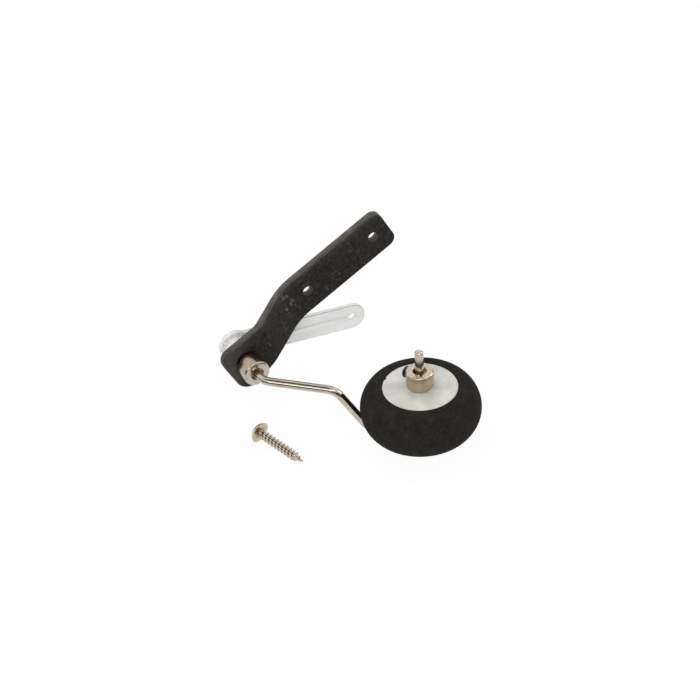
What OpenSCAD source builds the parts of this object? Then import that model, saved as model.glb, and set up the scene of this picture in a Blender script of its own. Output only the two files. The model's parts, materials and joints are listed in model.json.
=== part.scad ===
// Tailwheel assembly for a small aircraft, lying on its side.
// The steering post runs along Y, the wheel axle along Z, and the floor is z = 0.

/* [Wire strut] */
// Diameter of the spring-steel wire
wire_d = 2.2; // [1.8:0.1:2.4]
// Angle between the steering post and the trailing leg
trail_angle = 48.15; // [30:0.05:60]
// Length from the trailing corner to the wheel axle, along the trailing leg
trail_len = 40.85; // [38:0.05:60]
// Angle at which the wire steps sideways to pass under the wheel
step_angle = 52.5; // [40:0.5:65]
// Distance that the side step tucks in under the edge of the tyre
step_tuck = 1.45; // [0:0.05:3]
// Drop from the level of the steering post to the middle of the wheel
wheel_drop = 1.5; // [0:0.1:4]
// Radius of the strut's bends, on the centre of the wire
bend_r = 4.5; // [3:0.5:6]
// Radius of the bend into the axle, on the centre of the wire
axle_bend_r = 2.2; // [1.8:0.1:3]
// Straight wire between the steering collar and the trailing bend
post_neck = 1.15; // [0.2:0.05:3]
// Length of axle that stands out of the wheel collar
axle_stub = 5.95; // [2:0.05:10]
// Chamfer on the end of the axle
axle_chamfer = 0.4; // [0.1:0.1:0.7]

/* [Bracket] */
// Width of the carbon strip
strip_w = 11.75; // [9:0.05:14]
// Thickness of the carbon strip
strip_t = 2.25; // [1.5:0.05:3]
// Distance from the steering axis to the end of the foot
foot_len = 5.6; // [4.5:0.1:8]
// Distance from the steering axis to the corner at the start of the riser
riser_start = 6.85; // [5.5:0.05:9]
// Length of the riser, measured along the foot
riser_len = 10.55; // [9:0.05:16]
// Height of the arm above the foot
riser_h = 5.75; // [4.5:0.05:8]
// Length of the arm, from the corner at the end of the riser
arm_len = 32.4; // [28:0.1:45]
// Radius of the bend between foot and riser, on the middle of the strip's thickness
foot_bend_r = 6; // [4:0.1:9]
// Radius of the bend between riser and arm, on the middle of the strip's thickness
arm_bend_r = 13.5; // [6:0.1:15]
// Angle by which the strip's two bends are out of square with its edges
bend_skew = -5.9; // [-8:0.1:8]
// Radius of the upper corner at the end of the foot
foot_corner_r = 3.3; // [1:0.1:4]
// Radius of the lower corner at the end of the foot
foot_low_corner_r = 4; // [2:0.1:5]
// Angle at which the lower edge of the foot spreads
foot_flare = 14; // [5:0.5:20]
// Start of the spread, from the riser's lower corner
flare_start = 0.55; // [-2:0.05:3]
// Radius of the corners at the end of the arm
arm_corner_r = 2.5; // [1:0.1:4]
// Diameter of the two screw holes in the arm
arm_hole_d = 2.7; // [2:0.1:4]
// Distance from the end of the arm to the outer screw hole
arm_hole_edge = 4.8; // [3:0.1:8]
// Distance between the two screw holes
arm_hole_pitch = 21.7; // [15:0.1:23]

/* [Pivot bush] */
// Outside diameter of the bush
bush_d = 4; // [3.4:0.1:5]
// Diameter of the bush's flange
bush_flange_d = 6; // [5.4:0.1:7]
// Thickness of the bush's flange
bush_flange_t = 1.2; // [0.5:0.1:1.5]
// Height that the bush stands proud of the back of the foot
bush_proud = 0.3; // [0.1:0.1:1]

/* [Collars] */
// Outside diameter of both collars
collar_d = 7; // [6:0.1:9]
// Length of both collars
collar_len = 4.5; // [4:0.1:6]
// Chamfer on the rims of the collars
collar_chamfer = 0.2; // [0.1:0.05:0.6]
// Diameter of the counterbored mouth of the collars
mouth_d = 3.5; // [2.9:0.1:4]
// Depth of the counterbored mouth
mouth_depth = 1.1; // [0.3:0.1:1.5]
// Diameter of the grub screws
grub_d = 3; // [2:0.1:3.4]
// Height that the wheel collar's grub screw stands proud of its collar
grub_proud = 1.1; // [0:0.1:1.5]
// Height that the steering collar's grub screw stands proud of its collar
steering_grub_proud = 0.1; // [0:0.1:1.5]
// Width across the flats of the grub screws' hexagon socket
grub_socket = 1.5; // [0.9:0.1:1.6]
// Depth of the hexagon socket
grub_socket_depth = 1.3; // [0.5:0.1:1.8]
// Direction of the wheel collar's grub screw, about the axle
wheel_grub_dir = 115; // [0:1:359]
// Direction of the steering collar's grub screw, about the post
steering_grub_dir = -62; // [-180:1:180]

/* [Tiller] */
// Width of the tiller arm
tiller_w = 7.2; // [5:0.1:9]
// Thickness of the tiller plate
tiller_t = 1.3; // [1:0.1:2.5]
// Distance from the steering axis to the tip of the tiller
tiller_len = 37.3; // [30:0.1:45]
// Diameter of the tiller's round end at the post
tiller_hub_d = 8.4; // [8:0.1:12]
// Diameter of the boss that grips the post
tiller_boss_d = 6; // [5:0.1:8]
// Height of the boss between the bush and the plate
tiller_boss_h = 4.45; // [2:0.05:6]
// Width of the stiffening rib
rib_w = 1.3; // [0.8:0.1:2.5]
// Height of the stiffening rib
rib_h = 0.7; // [0.4:0.1:1.5]
// Diameter of the screw hole at the tip
tiller_hole_d = 2.1; // [1.5:0.1:3]
// Turn of the tiller about the post, from the plane of the wheel
tiller_turn = -5.8; // [-15:0.1:15]

/* [Wheel] */
// Diameter of the foam tyre
tyre_d = 30.3; // [26:0.1:40]
// Width of the foam tyre
tyre_w = 12.9; // [12.8:0.1:18]
// Radius of the tyre's shoulders
shoulder_r = 4.2; // [3:0.1:5]
// Depth of the tread crown, from the widest point of the tyre
crown_depth = 5; // [4.8:0.1:9]
// Diameter of the hub's flanges
hub_d = 18.8; // [16:0.1:19.4]
// Distance between the outer faces of the hub's flanges
hub_w = 12.6; // [11:0.1:12.8]
// Thickness of the hub's flanges
flange_t = 1.1; // [0.8:0.1:2]
// Diameter of the barrel that the tyre sits on
barrel_d = 14; // [12:0.1:15]
// Wall of the hub's barrel
barrel_wall = 1.1; // [0.8:0.1:1.6]
// Diameter of the tube that runs on the axle
hub_tube_d = 5; // [4:0.1:6]
// Diameter of the hub's raised face under the collar
hub_boss_d = 6.6; // [6:0.1:11]
// Height of the raised faces at the ends of the hub's tube
hub_boss_h = 0.3; // [0.2:0.1:1.5]
// Number of ribs inside each half of the hub
hub_ribs = 6; // [3:1:12]
// Thickness of the ribs inside the hub
hub_rib_t = 0.9; // [0.6:0.1:1.5]
// Height of the spigot that centres the hub's halves
spigot_h = 1.2; // [0.6:0.1:2]
// Wall of the spigot
spigot_wall = 0.8; // [0.5:0.1:1.2]

/* [Fixing screw] */
// Diameter over the screw's thread
screw_d = 2.6; // [2:0.1:3.5]
// Length of the screw under its head
screw_len = 14.5; // [8:0.5:20]
// Length of the screw's point
screw_point = 2.6; // [1.5:0.1:4]
// Diameter of the screw's pan head
screw_head_d = 5.6; // [4.5:0.1:7]
// Height of the screw's pan head
screw_head_h = 1.9; // [1.4:0.1:3]
// Width of the screw's cross recess
recess_w = 0.8; // [0.5:0.1:1.1]
// Length of the screw's cross recess, from tip to tip
recess_len = 2.8; // [2:0.1:3.4]
// Depth of the screw's cross recess
recess_depth = 1.1; // [0.6:0.1:1.3]
// Place of the screw's head to the side of the steering axis
screw_x = -5.2; // [-30:0.1:0]
// Place of the screw's head in front of the bracket's foot
screw_y = -17.3; // [-60:0.1:-14]
// Direction of the screw on the floor
screw_heading = -68.4; // [-180:0.1:180]

/* [Clearances] */
// Gap between faces that run past each other
run_gap = 0.3; // [0.1:0.05:0.6]
// Gap between the bracket and the tiller at the end of the steering travel
stop_gap = 0.2; // [0.1:0.05:0.6]
// Radial clearance of the post in its bush and of the wheel on its axle
running_fit = 0.05; // [0.01:0.01:0.1]
// Radial clearance of parts that are clamped or pressed together
seat_fit = 0.02; // [0.01:0.01:0.05]

/* [Hidden] */

$fn = 64;
cut = 1;                    // overshoot of the cutting tools
bend_thin = 0.015;          // thinning of wire and strip where they are bent
bend_lap = 0.12;            // length of a bend that reaches into the straight stock beside it
function lap_angle(r) = bend_lap / r * 180 / PI;
post_bore_d = wire_d + 2 * running_fit;
seat_bore_d = wire_d + 2 * seat_fit;

// Heights along the steering post: the foot's front face is y = 0, the collar lies in front of it
riser_angle = atan2(riser_h, riser_len);
foot_tangent = foot_bend_r * tan(riser_angle / 2);
arm_tangent = arm_bend_r * tan(riser_angle / 2);
arm_y = riser_h + strip_t;                       // mounting face of the arm
collar_back_y = -bush_flange_t - run_gap;
collar_front_y = collar_back_y - collar_len;
boss_y = strip_t + bush_proud + run_gap;
tiller_y = boss_y + tiller_boss_h;
tiller_back_y = tiller_y + tiller_t;

// Wheel heights, from the middle of the wheel
hub_face = hub_w / 2;
hub_end = hub_face + hub_boss_h;
collar_base = hub_end + run_gap;
axle_end = collar_base + collar_len + axle_stub;

// Wire: the corners of its centre line
wire_r = wire_d / 2;
trail_tangent = bend_r * tan(trail_angle / 2);
step_tangent = bend_r * tan(step_angle / 2);
corner_y = collar_front_y - post_neck - trail_tangent;
step_depth = wheel_drop + hub_end + run_gap + axle_bend_r;    // wire's run below the post
under_run = tyre_d / 2 - step_tuck;
step_start = trail_len - under_run - step_depth / tan(step_angle);
wheel_x = trail_len * sin(trail_angle);
wheel_y = corner_y - trail_len * cos(trail_angle);
floor_drop = step_depth + wire_r;

// Fold of the bracket: the edge of its riser stops against the tiller
bend_out_r = arm_bend_r + strip_t / 2;           // back face of the upper bend
bend_fall = bend_out_r * (1 - cos(riser_angle));
stop_fall = max(arm_y - tiller_y, 0);            // depth of the stop below the arm's back face
stop_run = stop_fall < bend_fall
         ? bend_out_r * sin(acos(1 - stop_fall / bend_out_r))
         : bend_out_r * sin(riser_angle) + (stop_fall - bend_fall) / tan(riser_angle);
touch_v = (riser_start + riser_len + arm_tangent - stop_run + strip_w / 2 * sin(bend_skew))
        / cos(bend_skew);
stop_angle = atan2(strip_w / 2, touch_v)
           + asin((tiller_w / 2 + stop_gap) / norm([touch_v, strip_w / 2]));
bracket_turn = tiller_turn + stop_angle;
arm_end = riser_start + riser_len + arm_len;
flare_v = riser_start + flare_start;
low_corner_v = foot_low_corner_r - foot_len;     // middle of the foot's lower corner
low_corner = [low_corner_v, foot_low_corner_r / cos(foot_flare) - strip_w / 2
                            - (flare_v - low_corner_v) * tan(foot_flare)];

// Loose screw: it lies on the rim of its head and on its last thread
screw_lean = asin((screw_head_d - screw_d) / 2 / (screw_len - screw_point));
screw_lift = screw_head_d / 2 * cos(screw_lean);

// Origin: middle of the assembly's outline, on the floor
function turned_x(v, w) = v * cos(bracket_turn) - w * sin(bracket_turn);
arm_reach = turned_x(arm_end - arm_corner_r, arm_corner_r - strip_w / 2) + arm_corner_r;
foot_reach = turned_x(foot_corner_r - foot_len, strip_w / 2 - foot_corner_r) - foot_corner_r;
screw_reach = screw_x - screw_head_d / 2 * abs(sin(screw_heading));
origin_x = (min(foot_reach, screw_reach) + max(arm_reach, wheel_x + tyre_d / 2)) / 2;
origin_y = (wheel_y - tyre_d / 2 + max(arm_y, tiller_back_y)) / 2;

// Places

module placed() {
    translate([-origin_x, -origin_y, floor_drop]) children();
}

// Stands children, built along +Z, on the steering post, pointing towards the wheel
module on_post(y) {
    translate([0, y, 0]) rotate([90, 0, 0]) children();
}

module at_wheel(z = 0) {
    translate([wheel_x, wheel_y, z - wheel_drop]) children();
}

// Lies children, built along -Y, against the post and turned about it
module about_post(turn) {
    rotate([0, -turn, 0]) children();
}

// Bent wire: each piece draws itself and carries the next one on its end

module wire_run(len) {
    cylinder(d = wire_d, h = len);
    translate([0, 0, len]) children();
}

module wire_bend(angle, r) {
    lap = lap_angle(r);
    translate([r, 0, 0]) rotate([90, 0, 180]) rotate(-lap)
        rotate_extrude(angle = angle + 2 * lap) translate([r, 0]) circle(r = wire_r - bend_thin);
    translate([r * (1 - cos(angle)), 0, r * sin(angle)]) rotate([0, angle, 0]) children();
}

module wire_roll(angle) {
    rotate([0, 0, angle]) children();
}

module axle_tip() {
    cylinder(d1 = wire_d, d2 = wire_d - 2 * axle_chamfer, h = axle_chamfer);
}

module strut_wire() {
    post_top = tiller_back_y - seat_fit;
    post_len = post_top - corner_y - trail_tangent;
    leg_len = step_start - trail_tangent - step_tangent;
    step_len = step_depth / sin(step_angle) - 2 * step_tangent;
    run_len = under_run - step_tangent - axle_bend_r;
    axle_len = hub_end + run_gap + axle_end - axle_chamfer;
    color("silver") placed() on_post(post_top)
        wire_run(post_len) wire_bend(trail_angle, bend_r)
        wire_run(leg_len) wire_roll(-90) wire_bend(step_angle, bend_r)
        wire_run(step_len) wire_roll(180) wire_bend(step_angle, bend_r)
        wire_run(run_len) wire_bend(90, axle_bend_r)
        wire_run(axle_len) axle_tip();
}

// Bracket: a strip of constant thickness, bent up and back again

module strip_run(len) {
    translate([0, -strip_t / 2]) square([len, strip_t]);
    translate([len, 0]) children();
}

module strip_bend(angle, r) {
    side = sign(angle);
    reach = 2 * r;
    lap = lap_angle(r);
    half_t = strip_t / 2 - bend_thin;
    translate([0, side * r]) intersection() {
        difference() {
            circle(r = r + half_t);
            circle(r = r - half_t);
        }
        polygon([[0, 0], for (a = [-lap, abs(angle) + lap]) reach * [sin(a), -side * cos(a)]]);
    }
    translate(r * [sin(abs(angle)), side * (1 - cos(angle))]) rotate(angle) children();
}

// Section of the bent sheet that the strip is cut from, longer than the strip at both ends
module sheet_section() {
    spare = cut + strip_w / 2 * abs(sin(bend_skew));
    foot_run = spare + foot_len + riser_start - foot_tangent;
    riser_run = norm([riser_len, riser_h]) - foot_tangent - arm_tangent;
    arm_run = arm_len - arm_tangent + spare;
    translate([-foot_len - spare, strip_t / 2])
        strip_run(foot_run) strip_bend(riser_angle, foot_bend_r)
        strip_run(riser_run) strip_bend(-riser_angle, arm_bend_r)
        strip_run(arm_run);
}

// Outline of the strip seen along the post, with round corners
module strip_outline() {
    arm_c = arm_end - arm_corner_r;
    half_w = strip_w / 2;
    foot_top = half_w - foot_corner_r;
    translate([foot_corner_r - foot_len, -half_w / 2]) square([foot_len + arm_c - foot_corner_r, 1.5 * half_w]);
    translate([flare_v, -half_w]) square([arm_c - flare_v, half_w]);
    translate([foot_corner_r - foot_len, foot_top]) circle(r = foot_corner_r);
    translate(low_corner) circle(r = foot_low_corner_r);
    polygon([
        [-foot_len, foot_top], [-foot_len, low_corner.y], low_corner,
        low_corner + foot_low_corner_r * [sin(foot_flare), -cos(foot_flare)],
        [flare_v, -half_w], [flare_v, foot_top]
    ]);
    for (side = [-1, 1])
        translate([arm_c, side * (half_w - arm_corner_r)]) circle(r = arm_corner_r);
    translate([arm_c, arm_corner_r - half_w]) square([arm_corner_r, strip_w - 2 * arm_corner_r]);
}

module strip_hole(v, d) {
    translate([v, arm_y + cut, 0]) rotate([90, 0, 0]) cylinder(d = d, h = arm_y + 2 * cut);
}

module carbon_bracket() {
    hole_v = arm_end - arm_hole_edge;
    sheet_w = strip_w + 2 * (arm_end * abs(sin(bend_skew)) + cut);
    color("#2b2a28") placed() about_post(bracket_turn) difference() {
        intersection() {
            about_post(bend_skew) translate([0, 0, -sheet_w / 2]) linear_extrude(sheet_w) sheet_section();
            translate([0, arm_y + cut, 0]) rotate([90, 0, 0])
                linear_extrude(arm_y + 2 * cut) strip_outline();
        }
        strip_hole(0, bush_d + 2 * seat_fit);
        for (v = [hole_v, hole_v - arm_hole_pitch]) strip_hole(v, arm_hole_d);
    }
}

module pivot_bush() {
    len = strip_t + bush_proud;
    color("#b8974f") placed() on_post(len) difference() {
        union() {
            cylinder(d = bush_d, h = len);
            translate([0, 0, len]) cylinder(d = bush_flange_d, h = bush_flange_t);
        }
        translate([0, 0, -cut]) cylinder(d = post_bore_d, h = len + bush_flange_t + 2 * cut);
    }
}

// Collar along +Z with a counterbored mouth at its far end and a cross hole for its grub screw
module collar(grub_dir) {
    r = collar_d / 2;
    color("#cfc8ba") difference() {
        rotate_extrude() polygon([
            [seat_bore_d / 2, 0], [r - collar_chamfer, 0], [r, collar_chamfer],
            [r, collar_len - collar_chamfer], [r - collar_chamfer, collar_len],
            [mouth_d / 2, collar_len], [mouth_d / 2, collar_len - mouth_depth],
            [seat_bore_d / 2, collar_len - mouth_depth]]);
        rotate(grub_dir) translate([0, 0, collar_len / 2]) rotate([0, 90, 0])
            cylinder(d = grub_d + 2 * seat_fit, h = collar_d);
    }
}

// Socket grub screw that presses on the wire, in the collar's own frame
module grub(grub_dir, proud) {
    tip = wire_r + seat_fit;
    len = collar_d / 2 + proud - tip;
    bevel = grub_d / 8;
    color("#1d1c1b") rotate(grub_dir) translate([tip, 0, collar_len / 2]) rotate([0, 90, 0])
        difference() {
            union() {
                cylinder(d1 = grub_d - 2 * bevel, d2 = grub_d, h = bevel);
                translate([0, 0, bevel]) cylinder(d = grub_d, h = len - bevel);
            }
            translate([0, 0, len - grub_socket_depth])
                cylinder(d = grub_socket / cos(30), h = grub_socket_depth + cut, $fn = 6);
        }
}

module steering_collar() {
    placed() on_post(collar_back_y) collar(steering_grub_dir);
}

module steering_grub() {
    placed() on_post(collar_back_y) grub(steering_grub_dir, steering_grub_proud);
}

module wheel_collar() {
    placed() at_wheel(collar_base) collar(wheel_grub_dir);
}

module wheel_grub() {
    placed() at_wheel(collar_base) grub(wheel_grub_dir, grub_proud);
}

// Tiller: clear plate with a boss on the post and a rib along its front

module tiller_outline() {
    tip_x = tiller_len - tiller_w / 2;
    circle(d = tiller_hub_d);
    translate([0, -tiller_w / 2]) square([tip_x, tiller_w]);
    translate([tip_x, 0]) circle(d = tiller_w);
}

module tiller_arm() {
    tip_x = tiller_len - tiller_w / 2;
    rib_end = tip_x - tiller_hole_d;
    color("gainsboro", 0.5) placed() about_post(tiller_turn) difference() {
        on_post(tiller_back_y) {
            linear_extrude(tiller_t) tiller_outline();
            translate([0, 0, tiller_t]) {
                cylinder(d = tiller_boss_d, h = tiller_boss_h);
                translate([0, -rib_w / 2, 0]) cube([rib_end - rib_w / 2, rib_w, rib_h]);
                translate([rib_end - rib_w / 2, 0, 0]) cylinder(d = rib_w, h = rib_h);
            }
        }
        on_post(tiller_back_y + cut) {
            cylinder(d = seat_bore_d, h = tiller_t + tiller_boss_h + 2 * cut);
            translate([tip_x, 0, 0]) cylinder(d = tiller_hole_d, h = tiller_t + 2 * cut);
        }
    }
}

// Wheel

// One half of the hub above z = 0: flange, barrel, axle tube and ribs that start at rib_z
module hub_half(rib_z, boss_d) {
    difference() {
        union() {
            difference() {
                union() {
                    cylinder(d = barrel_d, h = hub_face);
                    translate([0, 0, hub_face - flange_t]) cylinder(d = hub_d, h = flange_t);
                }
                translate([0, 0, -cut])
                    cylinder(d = barrel_d - 2 * barrel_wall, h = hub_face - flange_t + cut);
            }
            cylinder(d = hub_tube_d, h = hub_face);
            translate([0, 0, hub_face]) cylinder(d = boss_d, h = hub_boss_h);
            for (i = [0 : hub_ribs - 1]) rotate(i * 360 / hub_ribs)
                translate([hub_tube_d / 2 - hub_rib_t / 2, -hub_rib_t / 2, rib_z])
                    cube([(barrel_d - hub_tube_d - barrel_wall + hub_rib_t) / 2, hub_rib_t,
                          hub_face - flange_t - rib_z]);
        }
        translate([0, 0, -cut]) cylinder(d = post_bore_d, h = hub_end + 2 * cut);
    }
}

module hub_outer() {
    color("#d5d8d0") placed() at_wheel() hub_half(spigot_h + run_gap, hub_boss_d);
}

module hub_inner() {
    spigot_d = barrel_d - 2 * barrel_wall - 2 * seat_fit;
    color("#d5d8d0") placed() at_wheel() {
        mirror([0, 0, 1]) hub_half(0, hub_tube_d);
        difference() {
            translate([0, 0, -spigot_h]) cylinder(d = spigot_d, h = 2 * spigot_h);
            translate([0, 0, -spigot_h - cut])
                cylinder(d = spigot_d - 2 * spigot_wall, h = 2 * (spigot_h + cut));
        }
    }
}

// Half section of the tyre: a crown arc that runs into a shoulder arc on each side
module tyre_section() {
    half_w = tyre_w / 2;
    seat_r = barrel_d / 2 + seat_fit;
    seat_w = hub_w - 2 * flange_t - 2 * seat_fit;
    widest_r = tyre_d / 2 - crown_depth;
    wall_r = hub_d / 2 + seat_fit;                  // inner edge of the side walls, outside the flanges
    shoulder_z = half_w - shoulder_r;
    crown_r = (shoulder_r ^ 2 - crown_depth ^ 2 - shoulder_z ^ 2) / (2 * (shoulder_r - crown_depth));
    crown_c = tyre_d / 2 - crown_r;
    shoulder_top = crown_r * shoulder_z / (crown_r - shoulder_r);   // height where the arcs meet
    translate([seat_r, -seat_w / 2]) square([max(wall_r, widest_r) - seat_r, seat_w]);
    intersection() {
        union() {
            intersection() {
                translate([crown_c, 0]) circle(r = crown_r);
                translate([0, -shoulder_top]) square([tyre_d, 2 * shoulder_top]);
            }
            for (side = [-1, 1]) translate([widest_r, side * shoulder_z]) circle(r = shoulder_r);
        }
        translate([wall_r, -half_w]) square([tyre_d, tyre_w]);
    }
}

module tyre() {
    color("#262422") placed() at_wheel() rotate_extrude() tyre_section();
}

// Loose pan-head screw, built along +X from the underside of its head

module screw_head_section() {
    r = screw_head_d / 2;
    dome_r = (r ^ 2 + screw_head_h ^ 2) / (2 * screw_head_h);
    intersection() {
        translate([0, screw_head_h - dome_r]) circle(r = dome_r);
        square([r, screw_head_h]);
    }
}

module fixing_screw() {
    body_len = screw_len - screw_point;
    color("#cfc8ba") placed() translate([screw_x, screw_y, screw_lift - floor_drop])
        rotate([0, screw_lean, screw_heading]) rotate([0, 90, 0]) difference() {
            union() {
                mirror([0, 0, 1]) rotate_extrude() screw_head_section();
                cylinder(d = screw_d, h = body_len);
                translate([0, 0, body_len]) cylinder(d1 = screw_d, d2 = screw_d / 8, h = screw_point);
            }
            for (turn = [0, 90]) rotate(turn)
                translate([-recess_len / 2, -recess_w / 2, -screw_head_h - cut])
                    cube([recess_len, recess_w, recess_depth + cut]);
        }
}

carbon_bracket();
pivot_bush();
strut_wire();
steering_collar();
steering_grub();
tiller_arm();
hub_outer();
hub_inner();
tyre();
wheel_collar();
wheel_grub();
fixing_screw();
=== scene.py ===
import json
import math

import bmesh
import bpy
from mathutils import Matrix, Vector, noise


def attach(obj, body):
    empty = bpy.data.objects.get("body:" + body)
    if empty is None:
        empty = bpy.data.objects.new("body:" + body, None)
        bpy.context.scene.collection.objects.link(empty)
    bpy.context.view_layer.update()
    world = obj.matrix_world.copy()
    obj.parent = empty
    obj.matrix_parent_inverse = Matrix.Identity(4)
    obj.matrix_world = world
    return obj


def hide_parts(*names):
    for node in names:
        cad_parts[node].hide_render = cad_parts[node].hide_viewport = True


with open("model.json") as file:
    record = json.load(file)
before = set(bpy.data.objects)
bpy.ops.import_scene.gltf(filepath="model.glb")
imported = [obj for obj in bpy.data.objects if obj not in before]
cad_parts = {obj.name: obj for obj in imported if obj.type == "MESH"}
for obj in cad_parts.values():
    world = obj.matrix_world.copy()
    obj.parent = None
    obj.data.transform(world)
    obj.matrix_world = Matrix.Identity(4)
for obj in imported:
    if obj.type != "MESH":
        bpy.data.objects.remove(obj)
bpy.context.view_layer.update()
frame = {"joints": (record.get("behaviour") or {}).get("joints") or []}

joints = {joint["name"]: joint for joint in frame["joints"]}
postFoot = Vector(joints["steering"]["pos_m"])      # on the post, at the front face of the foot
wheelHeart = Vector(joints["wheel_spin"]["pos_m"])  # on the axle, half way through the wheel

# pieces are modelled in millimetres, and their place turns them into metres
mm = 0.001
fullTurn = 2 * math.pi
toMetres = Matrix.Scale(mm, 4)
postPlace = Matrix.Translation(postFoot) @ toMetres
wheelPlace = Matrix.Translation(wheelHeart) @ toMetres
alongPost = Matrix.Rotation(math.pi / 2, 4, "X")    # +Z of a turned piece points at the wheel


# mesh tools

def lift(height):
    return Matrix.Translation((0, 0, height))


def vertsOf(geom):
    return [item for item in geom if isinstance(item, bmesh.types.BMVert)]


def drawLine(bm, points, closed=False):
    verts = [bm.verts.new(point) for point in points]
    edges = [bm.edges.new(pair) for pair in zip(verts, verts[1:])]
    if closed:
        edges.append(bm.edges.new((verts[-1], verts[0])))
    return verts, edges


def sweepArc(bm, vert, centre, axis, angle, steps):
    # carries a vertex round an arc and returns the last one
    swept = bmesh.ops.spin(bm, geom=[vert], cent=centre, axis=axis, angle=angle, steps=steps)
    return vertsOf(swept["geom_last"])[0]


def lathe(bm, geom, steps):
    bmesh.ops.spin(bm, geom=geom, cent=(0, 0, 0), axis=(0, 0, 1), angle=fullTurn, steps=steps,
                   use_merge=True)


def turnProfile(bm, points, steps, closed=True):
    # points are (radius, height) pairs
    verts, edges = drawLine(bm, [(radius, 0, height) for radius, height in points], closed)
    lathe(bm, verts + edges, steps)


def addRod(bm, size, length, segments, place=Matrix()):
    bmesh.ops.create_cone(bm, cap_ends=True, segments=segments, radius1=size / 2, radius2=size / 2,
                          depth=length, matrix=place)


def clean(bm, gap=0.0005):
    bmesh.ops.remove_doubles(bm, verts=bm.verts[:], dist=gap)
    bmesh.ops.recalc_face_normals(bm, faces=bm.faces[:])


def faceOut(bm):
    bmesh.ops.recalc_face_normals(bm, faces=bm.faces[:])
    if bm.calc_volume(signed=True) < 0:
        bmesh.ops.reverse_faces(bm, faces=bm.faces[:])


def soften(bm, width, segments=2, above=35, clamp=True):
    # rounds every edge that is sharper than the angle
    sharp = [edge for edge in bm.edges
             if edge.is_manifold and edge.calc_face_angle(0) > math.radians(above)]
    bmesh.ops.bevel(bm, geom=sharp, offset=width, segments=segments, profile=0.5,
                    affect="EDGES", material=-1, clamp_overlap=clamp)


def fillOutline(bm):
    # fills the outer loop and leaves the inner loops open
    bmesh.ops.triangle_fill(bm, use_beauty=True, use_dissolve=False, edges=bm.edges[:])


def thicken(bm, height):
    grown = bmesh.ops.extrude_face_region(bm, geom=bm.faces[:])
    bmesh.ops.translate(bm, verts=vertsOf(grown["geom"]), vec=(0, 0, height))
    bmesh.ops.recalc_face_normals(bm, faces=bm.faces[:])


def addObject(name, data):
    made = bpy.data.objects.new(name, data)
    bpy.context.collection.objects.link(made)
    return made


def toMesh(bm, name, place=None):
    if place is not None:
        bm.transform(place)
    for face in bm.faces:
        face.smooth = True
    mesh = bpy.data.meshes.new(name)
    bm.to_mesh(mesh)
    bm.free()
    return mesh


def joinSolids(bm, others, operation):
    # unites the other solids with this one, or cuts them out of it
    part = addObject("part", toMesh(bm, "part"))
    helpers = []
    for other in others:
        helper = addObject("helper", toMesh(other, "helper"))
        helpers.append(helper)
        step = part.modifiers.new("step", "BOOLEAN")
        step.object = helper
        step.operation = operation
        step.solver = "EXACT"
    depsgraph = bpy.context.evaluated_depsgraph_get()
    made = bmesh.new()
    made.from_object(part, depsgraph)
    for spent in [part, *helpers]:
        bpy.data.objects.remove(spent)
    clean(made)
    return made


def addPiece(name, bm, place, body, node, slot, *finishes):
    mesh = toMesh(bm, name, place)
    for finish in finishes:
        mesh.materials.append(finish)
    piece = addObject(name, mesh)
    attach(piece, body)
    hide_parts(node)
    return piece


def evenShading(piece, sharpest=50):
    # flat faces stay flat beside their rounded edges
    piece.data.set_sharp_from_angle(angle=math.radians(sharpest))
    piece.modifiers.new("even shading", "WEIGHTED_NORMAL").keep_sharp = True


# node tools

def newFinish(name):
    finish = bpy.data.materials.new(name)
    finish.use_nodes = True
    tree = finish.node_tree
    return finish, tree, tree.nodes["Principled BSDF"]


def feed(tree, socket, value):
    if isinstance(value, bpy.types.NodeSocket):
        tree.links.new(value, socket)
    else:
        socket.default_value = value


def setShader(tree, shader, sockets):
    for key, value in sockets.items():
        feed(tree, shader.inputs[key], value)


def put(tree, kind, sockets, **settings):
    made = tree.nodes.new("ShaderNode" + kind)
    for key, value in settings.items():
        setattr(made, key, value)
    setShader(tree, made, sockets)
    return made


def axesOf(tree, vector):
    return put(tree, "SeparateXYZ", {"Vector": vector}).outputs


def two(tree, operation, first, second):
    return put(tree, "Math", {0: first, 1: second}, operation=operation).outputs[0]


def one(tree, operation, value):
    return put(tree, "Math", {0: value}, operation=operation).outputs[0]


def either(tree, share, first, second):
    return put(tree, "Mix", {0: share, 2: first, 3: second}, data_type="FLOAT").outputs[0]


def localMm(tree, centre=(0, 0, 0), turn=(0, 0, 0)):
    # millimetres from a centre, in axes turned with the piece
    coords = put(tree, "TexCoord", {})
    mapped = put(tree, "Mapping", {"Vector": coords.outputs["Object"], "Location": centre,
                                   "Rotation": turn, "Scale": (mm, mm, mm)}, vector_type="TEXTURE")
    return mapped.outputs["Vector"]


def stretch(tree, vector, scale):
    return put(tree, "Mapping", {"Vector": vector, "Scale": scale}).outputs["Vector"]


def grain(tree, vector, scale, detail=3.0, rough=0.55):
    return put(tree, "TexNoise", {"Vector": vector, "Scale": scale, "Detail": detail,
                                  "Roughness": rough}).outputs["Fac"]


def spread(tree, value, low, high, toLow=0.0, toHigh=1.0):
    return put(tree, "MapRange", {"Value": value, "From Min": low, "From Max": high,
                                  "To Min": toLow, "To Max": toHigh}).outputs["Result"]


def tint(tree, value, dark, light):
    ramp = put(tree, "ValToRGB", {"Fac": value})
    ramp.color_ramp.elements[0].color = (*dark, 1)
    ramp.color_ramp.elements[1].color = (*light, 1)
    return ramp.outputs["Color"]


def blendColours(tree, share, first, second, kind="MIX"):
    mixed = put(tree, "Mix", {}, data_type="RGBA", blend_type=kind)
    for socket, value in zip((mixed.inputs[0], mixed.inputs[6], mixed.inputs[7]),
                             (share, first, second)):
        feed(tree, socket, value)
    return mixed.outputs[2]


def bumpOn(tree, height, strength, depth):
    return put(tree, "Bump", {"Height": height, "Strength": strength,
                              "Distance": depth * mm}).outputs["Normal"]


# camera and light

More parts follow.
